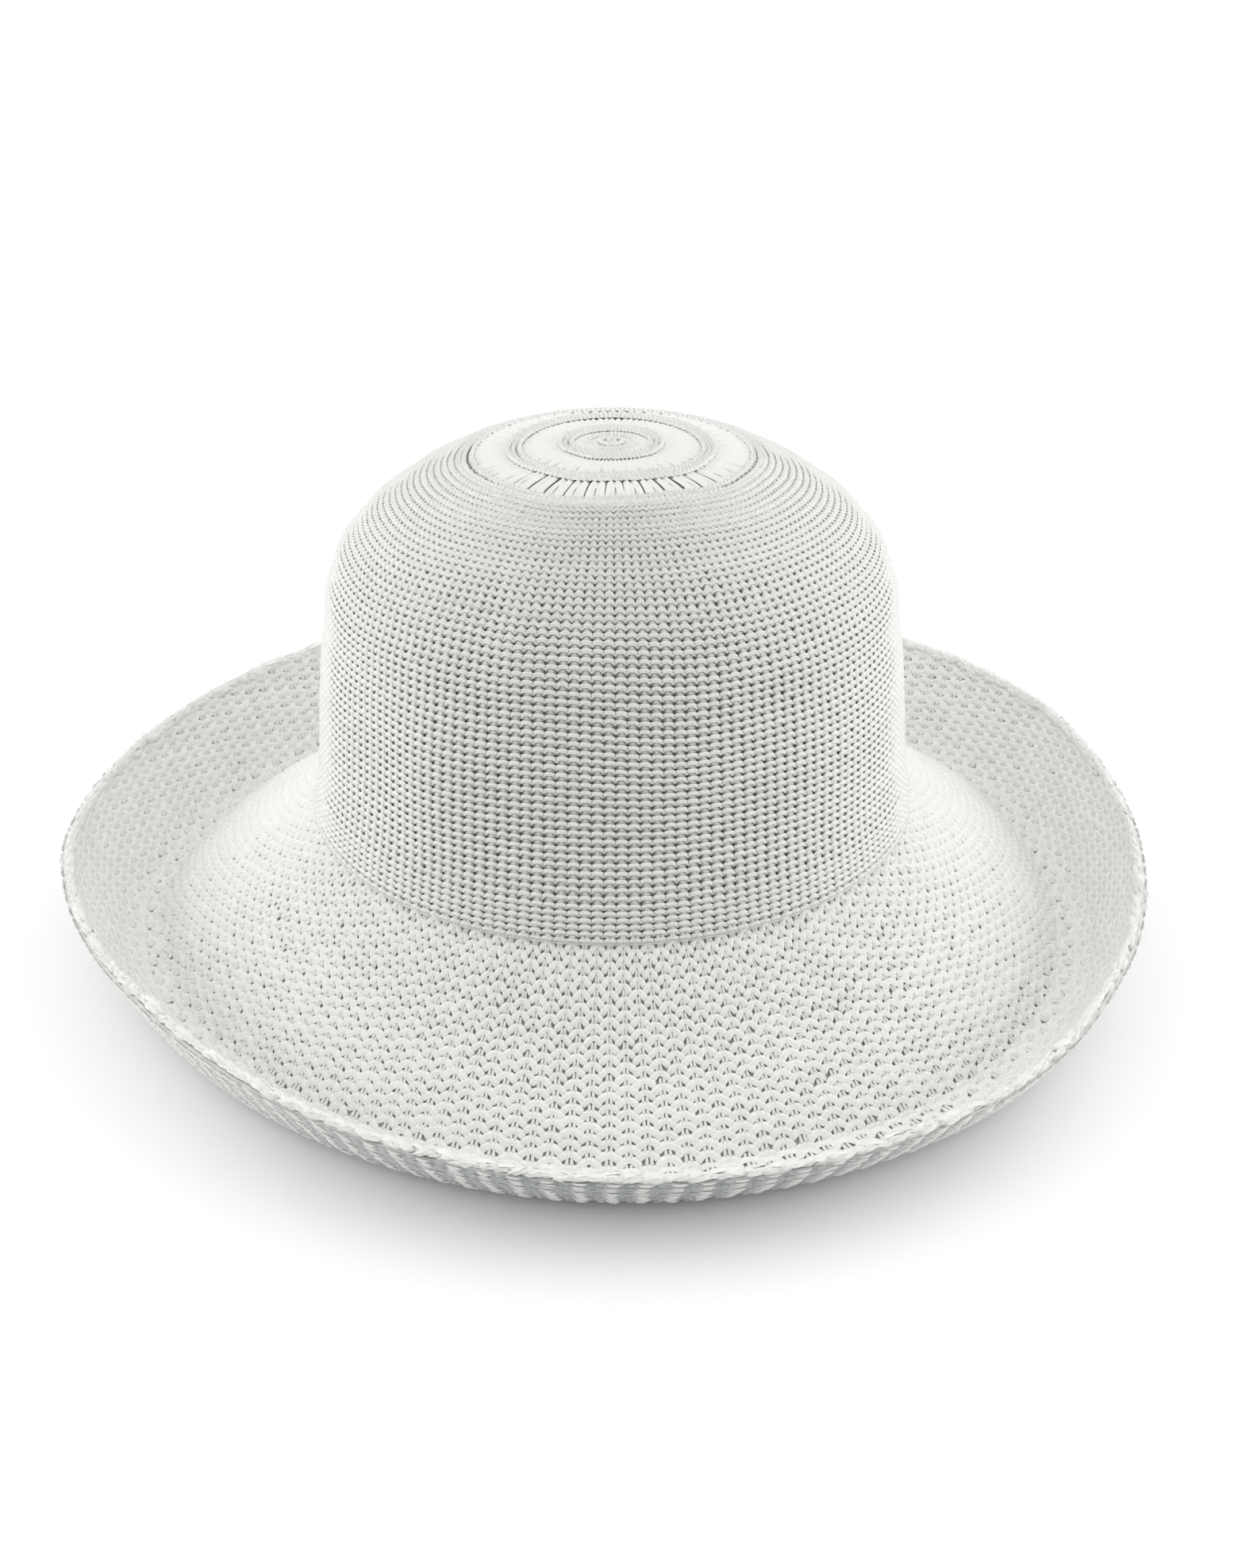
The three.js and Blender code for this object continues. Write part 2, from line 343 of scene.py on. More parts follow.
def knit_object(name, batches, node, tubes=True):
    """One mesh object from batches of yarn, standing for a node of the frame."""
    starts = np.cumsum([0] + [len(batch["points"]) for batch in batches])
    points = np.concatenate([batch["points"] for batch in batches]) * MM
    sides = np.concatenate([batch["sides"] + at for batch, at in zip(batches, starts)])
    caps = np.concatenate([batch["caps"] + at for batch, at in zip(batches, starts)])
    maps = np.concatenate([batch["maps"] for batch in batches])
    corners = np.concatenate([sides.reshape(-1), caps.reshape(-1)])
    first = np.concatenate([
        np.arange(len(sides)) * 4, len(sides) * 4 + np.arange(len(caps)) * 3])
    mesh = bpy.data.meshes.new(name)
    mesh.vertices.add(len(points))
    mesh.vertices.foreach_set("co", points.astype(np.float32).reshape(-1))
    mesh.loops.add(len(corners))
    mesh.loops.foreach_set("vertex_index", corners.astype(np.int32))
    mesh.polygons.add(len(first))
    mesh.polygons.foreach_set("loop_start", first.astype(np.int32))
    mesh.update(calc_edges=True)
    mesh.polygons.foreach_set("use_smooth", np.ones(len(first), bool))
    if tubes:
        ends = np.zeros(2 * len(mesh.edges), np.int32)
        mesh.edges.foreach_get("vertices", ends)
        ends = ends.reshape(-1, 2) % around
        hem = (ends[:, 0] == ends[:, 1]) & (ends[:, 0] != top_point)
        mesh.attributes.new("sharp_edge", "BOOLEAN", "EDGE").data.foreach_set("value", hem)
    uv = np.zeros((len(corners), 2), np.float32)
    uv[:len(sides) * 4] = maps.reshape(-1, 2)
    mesh.uv_layers.new(name="yarn").data.foreach_set("uv", uv.reshape(-1))
    for layer in ("depth", "tone"):
        values = np.concatenate([batch["layers"][layer] for batch in batches])
        attribute = mesh.attributes.new(layer, "FLOAT", "POINT")
        attribute.data.foreach_set("value", values.astype(np.float32))
    piece = bpy.data.objects.new(name, mesh)
    bpy.context.scene.collection.objects.link(piece)
    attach(piece, "root")
    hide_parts(node)
    triangles = 2 * len(sides) + len(caps)
    made[name] = triangles
    print(name, "has", triangles, "triangles")
    return piece


# %% [markdown]
# ## The crown's courses
# Each course is one yarn that goes right round in 172 loops, and the purl side shows. There
# the loops' heads and feet lie in front, as a scalloped ridge of broad arches with sharp dips
# between them. The legs go behind, as a flat pair for each loop, and leave a small dark hole
# above each dip. So a course is made as its ridge yarn and a row of short flat legs. The
# courses wander a little up and down, because knitting is never pulled quite straight.

# %% Crown courses
wales = 172
courses = 58
ridge_width = 1.16
ridge_inset = 0.42
leg_share = 0.96
leg_inset = np.array([0.88, 0.70])
leg_shade = np.array([0.5, 0.4])
uneven_pull, uneven_place, uneven_size = 0.16, 0.03, 0.06
rosette_edge = np.interp(-rosette_radius, -profile_out * crown_radius, profile_way)

# One scallop of a ridge: share of a wale across, share of a course up, how deep it dips
scallop = np.array([
    (-0.50, -0.20, 0.30), (-0.37, 0.03, 0.08), (-0.19, 0.125, 0.0), (0.0, 0.15, 0.0),
    (0.19, 0.125, 0.0), (0.37, 0.03, 0.08),
])
small_scallop = np.array([
    (-0.50, -0.17, 0.25), (-0.26, 0.07, 0.05), (0.0, 0.14, 0.0), (0.26, 0.07, 0.05)])

# The soft corners in front: how far a ring round the top sinks there, angle, spread
soft_corners = [(1.5, 251, 22), (1.3, 313, 24)]


def nearness(angle, middle, spread):
    """1 at an angle in degrees and 0 from spread degrees away."""
    return hump(((np.degrees(angle) - middle + 180) % 360 - 180) / spread)


def corners(angle):
    """How far a ring round the top sinks at the crown's soft corners."""
    return sum(sunk * nearness(angle, at, spread) for sunk, at, spread in soft_corners) - 0.5


def wander(angle, way):
    """How far the courses drift up or down: slow waves, and a dip in the front fold."""
    calm = hump((way / rosette_edge - 0.5) / 0.5)
    drift = 0.9 * np.sin(2 * angle + 0.6) + 0.55 * np.sin(5 * angle + 1.9 + way / 40)
    drift = drift + 0.35 * np.sin(9 * angle - 0.7 - way / 26)
    drift = drift - 1.6 * nearness(angle, 278, 26) * hump((way - 55) / 40)
    return calm * drift - corners(angle) * hump((way - rosette_edge - 14) / 50)


def course_way(number, angle):
    """How far up the crown a course lies at an angle. The lowest rows lie closer."""
    way = np.interp(number, [-1, 0, 5, courses, courses + 2],
                    [-1.0, 0.9, 10.2, rosette_edge, rosette_edge + 3.6])
    return way + wander(angle, way)


def wale_width(angle, way):
    """How wide one wale is at a place on the crown."""
    reach = crown_at(angle, way)[..., :2] - hat_middle
    lean = crown_lean * np.interp(way, profile_way, profile_up)
    return np.hypot(reach[..., 0], reach[..., 1] - lean) * TURN / wales


# Openness also sets how much painted shade the crown's legs and lining get
def openness(angle, way):
    """How open the knit is: most in the front fold, less on the dome and at the foot."""
    dome = np.clip((way - 70) / 28, 0, 1)
    low = 0.55 + 0.45 * np.clip(way / 30, 0, 1)
    front = nearness(angle, front_angle, crown_open_spread)
    return (0.22 + 0.78 * front) * (1 - 0.50 * dome) * low


def crown_courses(first, last, form):
    """Ridges and legs of the courses from first up to last."""
    numbers = np.arange(first, last)
    shape = (len(numbers), wales, len(form))
    pull = 1 + uneven_pull * chance.standard_normal(shape[:2])[..., None]
    shift = uneven_place * chance.standard_normal(shape[:2])[..., None]
    across = np.arange(wales)[None, :, None] + form[:, 0] + shift
    up = numbers[:, None, None] + form[:, 1] * pull
    angle = across.reshape(len(numbers), -1) * TURN / wales
    way = course_way(up.reshape(len(numbers), -1), angle)
    dip = np.broadcast_to(form[:, 2], shape).reshape(len(numbers), -1)
    lines, facing = placed(crown_at, angle, way, ridge_inset + dip)
    tone = np.repeat(chance.standard_normal(len(numbers))[:, None], angle.shape[1], axis=1)
    room = 1.13 - 0.13 * openness(angle, way)
    swell = 1 + uneven_size * np.repeat(chance.standard_normal(shape[:2]), len(form), axis=1)
    # Painted shade: the ridge is darker in its dips
    ridges = yarns(lines, facing, ridge_width * room * swell, True, dip, tone, height=0.92)
    row, column = np.meshgrid(numbers, np.arange(wales), indexing="ij")
    angle = np.repeat((column + shift[..., 0]).reshape(-1, 1), 2, axis=1) * TURN / wales
    way = course_way(row.reshape(-1, 1) + np.array([-0.08, 1.05]), angle)
    slack = openness(angle, way)
    lines, facing = placed(crown_at, angle, way, leg_inset + 0.30 * slack)
    wide = (leg_share - 0.20 * slack) * wale_width(angle, way) * [0.92, 1.08]
    # Painted shade: the legs lie deep, and are darker the more open the knit is
    legs = yarns(lines, facing, wide, False, leg_shade + 0.7 * slack, height=0.14)
    return [ridges, legs]


crown_parts = []
for part, (first, last, form) in enumerate([
        (0, 20, scallop), (20, 41, scallop), (41, courses, small_scallop)]):
    crown_parts.append(knit_object(
        "crown_courses_" + str(part + 1), crown_courses(first, last, form),
        "crown"))

# %% [markdown]
# ## The inside of the crown
# The other face of the same knitting shows inside the crown, as upright columns with a groove
# between each two. Yarn for it would be seen by hardly anyone, so it is one thin sheet behind
# the courses with a rib for each wale. It also keeps light from shining straight through. It is
# painted in shade, darker in its grooves and most in the open front fold.

# %% Crown lining
# It has a point on each wale and one in each groove, which wale_form tells apart as 1 and 0
lining_points = 2 * wales
lining_rows = 60
lining_inset, groove_depth = 1.75, 0.55
lining_angle = np.arange(lining_points) * TURN / lining_points
lining_way = np.linspace(-1.5, crown_way - 1.2, lining_rows)
angle, way = np.meshgrid(lining_angle, lining_way, indexing="ij")
wale_form = np.repeat(1 - np.arange(lining_points)[:, None] % 2, lining_rows, axis=1)
lining, _ = placed(crown_at, angle, way, lining_inset + groove_depth * wale_form)
# Painted shade: darker in the grooves, and most where the knit is open
lining_shade = 0.6 + 1.6 * openness(angle, way) + 1.1 * (1 - wale_form)
index = np.arange(lining_points * lining_rows).reshape(lining_points, lining_rows)
here, there = index[:, :-1], np.roll(index, -1, axis=0)[:, :-1]
sheet_sides = np.stack([here, there, there + 1, here + 1], axis=-1).reshape(-1, 4)
sheet = {
    "points": lining.reshape(-1, 3),
    "sides": sheet_sides,
    "maps": np.zeros((len(sheet_sides), 8)),
    "caps": np.zeros((0, 3), int),
    "layers": {"depth": lining_shade.reshape(-1), "tone": np.zeros(index.size)},
}
lining_piece = knit_object("crown_lining", [sheet], "crown", tubes=False)

# %% [markdown]
# ## The rosette on top
# The knitting starts in the middle of the crown with few stitches and grows outward. Two rings
# of long stretched stitches leave radial slits, with close purl ridges between them. The
# ridges are scalloped rings of yarn, and each long stitch is a pair of legs beside its slit.
# Two functions make all of it, from a ring's radius and its number of lumps or legs.

# %% Rosette
# Long stitches in each ring of slits
units = 43


def crown_way_at(radius):
    """The way up the crown where its radius has shrunk to this."""
    return np.interp(-np.asarray(radius, float), -profile_out * crown_radius, profile_way)


def ring_way(radius, angle):
    """The way up the crown of a ring of this radius, sunk at the soft corners."""
    radius = radius + corners(angle) * np.minimum(radius / rosette_radius, 1)
    return crown_way_at(radius + 0.3 * np.sin(3 * angle + radius / 3) * np.minimum(radius / 30, 1))


def scalloped_ring(radius, lumps, sway, width, inset, steps=4):
    """A closed rope of yarn with one lump for each stitch."""
    turn = np.arange(lumps * steps) / steps
    angle = turn * TURN / lumps
    wave = np.abs(np.cos(np.pi * turn))
    lump = np.floor(turn + 0.5).astype(int) % lumps
    size = 1 + 0.22 * chance.standard_normal(lumps)[lump] * wave
    way = ring_way(radius, angle) + sway * wave * size
    lines, facing = placed(crown_at, angle[None], way[None], inset - 0.30 * (wave * size)[None])
    wide = width * (0.80 + 0.22 * wave * size)
    # Painted shade: the ring is darker between its lumps
    return yarns(lines, facing, wide[None], True, 0.35 * (1 - wave)[None], 0.3, 1.0)


def long_legs(inner, outer, count, turned, spread_in, spread_out, width, inset):
    """Pairs of straight legs from one radius to another."""
    middle = np.repeat(np.arange(count) + turned, 2)
    side = np.tile([-1.0, 1.0], count)
    share = np.linspace(0, 1, 6)
    open_in = spread_in * (1 + 0.16 * chance.standard_normal(2 * count))
    open_out = spread_out * (1 + 0.16 * chance.standard_normal(2 * count))
    spread = side[:, None] * (open_in[:, None] * (1 - share) + open_out[:, None] * share)
    angle = (middle[:, None] + spread) * TURN / count
    radius = inner + (outer - inner) * share
    way = ring_way(np.broadcast_to(radius, angle.shape), angle)
    dip = 0.55 * np.abs(2 * share - 1) ** 3
    lines, facing = placed(crown_at, angle, way, inset + np.broadcast_to(dip, angle.shape))
    wide = width * radius / outer * np.ones(angle.shape)
    # Painted shade: the legs are darker at their ends, where they dip
    return yarns(lines, facing, wide, False, np.broadcast_to(dip, angle.shape) * 0.6, 0.0, 0.55)


# From the outside in. A ring has its radius, lumps, sway, width and inset. Legs have their inner
# and outer radius, number, turn, spread at both ends, width and inset
rosette = [
    scalloped_ring(45.0, 172, 0.30, 1.60, 0.50),
    scalloped_ring(42.9, 172, 0.45, 1.45, 0.40),
    long_legs(29.6, 43.6, units, 0.5, 0.225, 0.235, 3.0, 0.80),
    long_legs(33.0, 42.4, units, 0.5, 0.05, 0.235, 1.30, 0.45),
    scalloped_ring(31.4, 130, 0.40, 1.45, 0.35),
    scalloped_ring(29.7, 130, 0.10, 1.70, 0.60),
    scalloped_ring(28.2, 130, 0.40, 1.45, 0.35),
    long_legs(13.4, 28.6, units, 0.0, 0.235, 0.235, 2.35, 0.70),
    long_legs(17.0, 27.0, units, 0.5, 0.05, 0.22, 1.10, 0.42),
    scalloped_ring(15.6, 76, 0.40, 1.45, 0.25),
    scalloped_ring(14.0, 76, 0.10, 1.80, 0.50),
    scalloped_ring(12.4, 64, 0.40, 1.45, 0.25),
    long_legs(1.4, 12.8, 26, 0.0, 0.25, 0.25, 2.1, 0.60),
    scalloped_ring(7.6, 36, 0.35, 1.40, 0.30),
    scalloped_ring(3.6, 16, 0.30, 1.40, 0.15),
    scalloped_ring(1.2, 6, 0.20, 1.60, 0.10, 6),
]
rosette_piece = knit_object("crown_rosette", rosette, "crown")

# %% [markdown]
# ## The brim's stitches
# On the brim the knit changes. Each column is a stack of broad arches, and neighbouring columns
# lie half a row apart. An arch is a short thick yarn whose top points to the crown, and both
# its sides slope outward until they tuck in under the neighbours. Two thin legs come to its top
# through the hole under the arch before. As the brim widens the columns spread, so steep arches
# near the crown become flat ones near the edge. The knit is drawn open in front, so the yarn is
# made thicker at the sides, at the back and on the turned-up wall.

# %% Brim stitches
# Two forms of an arch: share of a column across, share of a row out, how deep it dips
arch_near = np.array([
    (-0.57, 0.76, 0.95), (-0.44, 0.42, 0.15), (-0.29, 0.11, 0.00), (-0.11, -0.10, 0.00),
    (0.11, -0.10, 0.00), (0.29, 0.11, 0.00), (0.44, 0.42, 0.15), (0.57, 0.76, 0.95),
])
arch_far = np.array([
    (-0.73, 0.52, 0.95), (-0.51, 0.24, 0.15), (-0.32, 0.04, 0.00), (-0.11, -0.07, 0.00),
    (0.11, -0.07, 0.00), (0.32, 0.04, 0.00), (0.51, 0.24, 0.15), (0.73, 0.52, 0.95),
])
arch_width_near = np.array([1.20, 1.80, 1.80, 1.60, 1.60, 1.80, 1.80, 1.20])
arch_width_far = np.array([1.60, 2.45, 2.45, 2.30, 2.30, 2.45, 2.45, 1.60])

# Legs and rows: values near the crown and far from it, then at a leg's start and end
leg_aside = (0.074, 0.120)
leg_width = (0.76, 1.24)
near_pitch, far_pitch = 4.05, 3.25
leg_ways = np.array([-0.82, -0.12])
leg_insets = np.array([-0.40, -0.66])

# How much the stitches vary, how far arches stand out and dip, how much yarn thickens where
# the knit is close
uneven_row, uneven_column, uneven_arch, uneven_lean = 0.035, 0.025, 0.05, 0.06
arch_stand, arch_dip = 0.72, 0.95
arch_closing, leg_closing = 0.22, 0.65
row_list = [0.9]
while row_list[-1] < brim_way + 8:
    share = min(row_list[-1] / brim_way, 1)
    row_list.append(row_list[-1] + near_pitch + (far_pitch - near_pitch) * min(2.2 * share, 1))
row_ways = np.array(row_list)
rows = int(np.sum(row_ways < brim_way + 1.2))


def row_way_at(number, angle):
    """How far out on the brim a row lies, with a slow drift round the hat."""
    way = np.interp(number, np.arange(-1, len(row_ways)), np.concatenate([[-3.2], row_ways]))
    calm = hump((way / brim_way - 0.5) / 0.5)
    return way + calm * (0.8 * np.sin(3 * angle + 0.4) + 0.45 * np.sin(7 * angle + way / 30))


def closeness(angle, way):
    """How closely the brim is knit: not in front, and most on the wall at sides and back."""
    wall = np.clip((way - rest_way + 4) / 10, 0, 1) + 1.3 * hump((way - rest_way - 1) / 11)
    return (1 - nearness(angle, front_angle, brim_open_spread)) * (0.6 + 0.4 * wall)


def brim_stitches(first, last):
    """Arches and their pairs of legs, of the rows from first up to last."""
    row, column = np.meshgrid(np.arange(first, last), np.arange(wales), indexing="ij")
    row = row.reshape(-1, 1) + 0.5 * (column.reshape(-1, 1) % 2)
    column = column.reshape(-1, 1)
    share = np.clip(np.interp(row, np.arange(len(row_ways)), row_ways) / (0.8 * brim_way), 0, 1)
    push = chance.standard_normal((len(row), 4))
    row = row + uneven_row * push[:, :1]
    column = column + uneven_column * push[:, 1:2]
    form = arch_near + (arch_far - arch_near) * share[..., None]
    size = 1 + uneven_arch * push[:, 2:3]
    lopsided = uneven_lean * push[:, 3:] * form[..., 0]
    angle = (column + form[..., 0] * size) * TURN / wales
    way = row_way_at(row + form[..., 1] + lopsided, angle)
    close = closeness(angle, way)
    lines, facing = placed(brim_at, angle, way, -arch_stand + arch_dip * form[..., 2])
    wide = (arch_width_near + (arch_width_far - arch_width_near) * share) * size
    wide = wide * (1 + arch_closing * close)
    tone = np.repeat(push[:, 2:3], form.shape[1], axis=1)
    # Painted shade: an arch is darker at its ends, where it dips under its neighbours
    arches = yarns(lines, facing, wide, False, 0.5 * form[..., 2], tone, height=0.56)
    share, row, column = (np.repeat(v, 2, axis=0) for v in (share, row, column))
    side = np.tile([[-1.0], [1.0]], (len(push), 1))
    aside = side * (leg_aside[0] + (leg_aside[1] - leg_aside[0]) * share)
    angle = (column + aside * np.array([1.0, 1.15])) * TURN / wales
    way = row_way_at(row + leg_ways, angle)
    lines, facing = placed(brim_at, angle, way, np.broadcast_to(leg_insets, angle.shape))
    wide = (leg_width[0] + (leg_width[1] - leg_width[0]) * share) * np.array([0.9, 1.1])
    wide = wide * (1 + leg_closing * closeness(angle, way))
    # The legs get a little painted shade too
    legs = yarns(lines, facing, wide, False, 0.15, height=0.75)
    return [arches, legs]


middle_row = rows // 2
brim_parts = [
    knit_object("brim_stitches_inner", brim_stitches(0, middle_row), "brim"),
    knit_object("brim_stitches_outer", brim_stitches(middle_row, rows), "brim"),
]
print(rows, "rows of", wales, "columns on the brim")

# %% [markdown]
# ## Where the crown meets the brim
# The last crown ridge is followed by a row where every second column starts half a row late.
# Its legs show there as straight threads with dark gaps beside them, right round the hat.

# %% Joint row
odd = np.repeat(np.arange(1, wales, 2), 2)
side = np.tile([-1.0, 1.0], wales // 2)
angle = (odd[:, None] + side[:, None] * np.array([0.20, 0.15, 0.12])) * TURN / wales
way = row_way_at(np.broadcast_to([-0.75, -0.2, 0.42], angle.shape), angle)
joint_lines, joint_facing = placed(brim_at, angle, way, np.broadcast_to(-0.3, angle.shape))
# Painted shade: the legs are a little darker, as they lie deep in the joint
joint_legs = yarns(joint_lines, joint_facing, 0.95, False, 0.5)
joint_piece = knit_object("joint_legs", [joint_legs], "brim")

# %% [markdown]
# ## The back of the brim
# Behind the arches the same yarn makes broad ribs that run outward, 138 of them, with a groove
# between each two. It is a thin closed shell with ribbed underside, which also closes the
# holes between the stitches, because the real knit is several strands thick there. At its end
# it swells, to go over the rolled edge. Both sides are painted in shade: the upper side, seen
# through the holes, most where the knit is open, and the underside in its grooves and most in
# front.

# %% Ribbed back
ribs = 138
rib_steps = 4
back_rows = 34
back_row_length = 2.4
rib_index = np.arange(ribs * rib_steps)
back_angle = rib_index * TURN / (ribs * rib_steps)
over_inset, under_inset, rib_height = 0.35, 0.55, 0.15
back_way = np.linspace(-1.0, brim_way + 3.2, back_rows)
rib_form = np.array([0.0, 0.75, 1.0, 0.75])[rib_index % rib_steps]
angle, way = np.meshgrid(back_angle, back_way, indexing="ij")
rib = np.repeat(rib_form[:, None], back_rows, axis=1)


def roll_swell(way):
    """How much farther out the back lies where it goes over the rolled edge."""
    share = np.clip((way - brim_way + 0.8) / 2.8, 0, 1)
    return 1.15 * share * share * (3 - 2 * share)


under, _ = placed(brim_at, angle, way, under_inset + rib_height * rib + roll_swell(way))
over, _ = placed(brim_at, angle, way, np.full(angle.shape, over_inset))
under[..., 2] = np.maximum(under[..., 2], 0.0)


def shell(over, under, shade_over, shade_under):
    """A closed shell from its upper and under points, round the hat by along the brim."""
    count, points = over.shape[:2]
    both = np.concatenate([over, under[:, ::-1]], axis=1)
    index = np.arange(count * 2 * points).reshape(count, 2 * points)
    here, there = index, np.roll(index, -1, axis=0)
    sides = np.stack([here, np.roll(here, -1, axis=1), np.roll(there, -1, axis=1), there], axis=-1)
    reached = np.concatenate([np.arange(points), np.arange(points)[::-1]]) * back_row_length
    u = np.broadcast_to(reached, here.shape)
    v = np.broadcast_to(np.arange(count)[:, None] / rib_steps, here.shape)
    next_u = np.roll(u, -1, axis=1)
    next_v = v + 1 / rib_steps
    maps = np.stack([u, v, next_u, v, next_u, next_v, u, next_v], axis=-1)
    depth = np.concatenate([
        np.broadcast_to(shade_over, (count, points)),
        np.broadcast_to(shade_under, (count, points))[:, ::-1],
    ], axis=1)
    return {
        "points": both.reshape(-1, 3),
        "sides": sides.reshape(-1, 4),
        "maps": maps.reshape(-1, 8),
        "caps": np.zeros((0, 3), int),
        "layers": {"depth": depth.reshape(-1), "tone": np.zeros(depth.size)},
    }


# Painted shade: the upper side is darker where the knit is open, and the underside is darker in
# its grooves and most in front, where least light reaches it
front = nearness(angle, front_angle, back_shade_spread)
shade_over = np.maximum(0.50 - 0.44 * closeness(angle, way), 0.05)
shade_under = (1.0 - 0.25 * rib) * (0.30 + 0.70 * front)
back_shell = shell(over, under, shade_over, shade_under)
back_piece = knit_object("brim_back", [back_shell], "brim", tubes=False)

# %% [markdown]
# ## The outside of the turned-up edge
# Where the brim turns up its back faces out, and the ribs are seen close to. Each rib is a
# stack of short bars of yarn. On one side of the rib they bulge and catch the light, and on the
# other they lie deeper and are painted darker, as painted shade. All of them are painted darker in
# front, where least light reaches the wall. So both kinds are made by one function, from two
# forms.

# %% Bars on the turned-up wall
bar_pitch = 2.75
bar_inset, bar_stand, uneven_bar = 0.92, 0.42, 0.05
bar_way = np.arange(rest_way + 3.0, brim_way + 4.2, bar_pitch)
bar_row, bar_rib = np.meshgrid(np.arange(len(bar_way)), np.arange(ribs), indexing="ij")
bar_row = bar_row.reshape(-1)
bar_rib = bar_rib.reshape(-1)

# A bar: share of a rib across, how deep it dips
bright_bar = np.array([(-0.12, 0.95), (0.04, 0.10), (0.23, 0.0), (0.43, 0.95)])
faint_bar = np.array([(-0.43, 0.95), (-0.35, 0.20), (-0.26, 0.2), (-0.10, 0.95)])


def wall_bars(bar_form, width, depth):
    """One bar across a part of each rib, in each row of the wall."""
    push = uneven_bar * chance.standard_normal((len(bar_row), 4))
    angle = (bar_rib[:, None] + 0.5 + bar_form[:, 0] + push[:, :1]) * TURN / ribs
    tilt = 2 * push[:, 1:2] * bar_form[:, 0]
    way = bar_way[bar_row][:, None] + bar_pitch * (push[:, 1:2] + tilt) + np.zeros(angle.shape)
    inset = bar_inset - bar_stand * bar_form[:, 1] + roll_swell(way)
    lines, facing = placed(brim_at, angle, way, inset)
    lines[..., 2] = np.maximum(lines[..., 2], 0.4)
    tone = np.repeat(chance.standard_normal(len(bar_row))[:, None], 4, axis=1)
    wide = width * (1 + 3 * push[:, 2:3]) * np.array([0.3, 1.0, 1.0, 0.3])
    # Painted shade: the bars are darker in front, where least light reaches the wall, and where
    # they dip
    front_shade = 0.2 + 0.8 * nearness(angle, front_angle, back_shade_spread)
    sunk = (depth + 0.4 * bar_form[:, 1]) * front_shade
    return yarns(lines, -facing, wide, False, sunk, tone, height=0.60)


# Each kind's last number is how much painted shade it gets; the faint bars get more
bars = [wall_bars(bright_bar, 0.88, 0.20), wall_bars(faint_bar, 0.70, 0.65)]
bars_piece = knit_object("brim_bars", bars, "brim")

# %% [markdown]
# ## The plaited edge
# The last rows are rolled and bound off into a thick edge like a plait. Strands that weave over
# and under one another could make it, but what shows are short loops of uneven size. So a thin
# core runs right round the rim, and five rows of short soft loops lie over it, from its top
# down its inner side. Each row slants the other way from the one before.

# %% Plaited edge
edge_points = 460
edge_loops = 300
core_width = 2.2
loop_width, uneven_width = 1.75, 0.22
loop_stand, uneven_stand = 1.20, 0.30
uneven_turn = 13
angle = np.arange(edge_points) * TURN / edge_points


def edge_line(angle):
    """The rolled edge's middle line, the direction along the wall and the one facing in."""
    rim, rim_facing = placed(brim_at, angle, np.full(angle.shape, brim_way), np.zeros(angle.shape))
    inner, _ = placed(brim_at, angle, np.full(angle.shape, brim_way - 1.0), np.zeros(angle.shape))
    rim_along = unit(rim - inner)
    return rim + rim_along * (edge_stand - edge_radius), rim_along, rim_facing


middle, along, inward = edge_line(angle[None])
# The core lies under the loops and gets painted shade
strands = [yarns(middle + inward * 0.2, along, core_width, True, 0.5, height=0.95)]

# Each row: where it sits round the roll in degrees, its slant, and how far it is shifted
edge_rows = [(-12, 26, 0.0), (26, -26, 0.5), (64, 24, 0.2), (102, -20, 0.6), (142, 16, 0.1)]

# One loop: share of its pitch along the rim, how deep it dips
loop_form = np.array([(-0.95, 0.55), (-0.40, 0.05), (0.35, 0.0), (0.95, 0.60)])
for sits, slant, shifted in edge_rows:
    push = chance.standard_normal((edge_loops, 4))
    place = np.arange(edge_loops)[:, None] + shifted + 0.16 * push[:, :1]
    angle = (place + loop_form[:, 0] * (1 + 0.12 * push[:, 1:2])) * TURN / edge_loops
    slope = slant * (1 + 0.5 * push[:, 3:]) * loop_form[:, 0]
    turned = np.radians(sits + uneven_turn * push[:, 2:3] + slope)
    middle, along, inward = edge_line(angle)
    outward = along * np.cos(turned)[..., None] + inward * np.sin(turned)[..., None]
    stands = loop_stand + uneven_stand * push[:, :1] - loop_form[:, 1]
    wide = loop_width * (1 + uneven_width * push[:, 1:2]) * np.array([0.55, 1.0, 1.0, 0.5])
    tone = np.repeat(push[:, :1], 4, axis=1)
    lines = middle + outward * stands[..., None]
    # Painted shade: a loop is darker at its ends, where it dips
    depth = 0.3 * loop_form[:, 1]
    strands.append(yarns(lines, outward, wide, False, depth, tone, height=0.75))
edge_piece = knit_object("edge_plait", strands, "brim_edge")
print("triangles in all", sum(made.values()))

# %% [markdown]
# ## The yarn's colour
# The yarn is off-white thread like cotton, and its colour varies a little from loop to loop, in
# flecks and in broad patches. Yarn deep in the knit gets painted shade, because little light gets
# there.
# Loops know their tone and depth from the mesh, so one node group serves every piece.

# %% Colour of the yarn
def new_group(name, inputs, outputs):
    """An empty node group with sockets, and its two end nodes."""
    group = bpy.data.node_groups.new(name, "ShaderNodeTree")
    for label, kind, value in inputs:
        socket = group.interface.new_socket(name=label, in_out="INPUT", socket_type=kind)
        socket.default_value = value
    for label, kind in outputs:
        group.interface.new_socket(name=label, in_out="OUTPUT", socket_type=kind)
    start = group.nodes.new("NodeGroupInput")
    end = group.nodes.new("NodeGroupOutput")
    return group, start, end


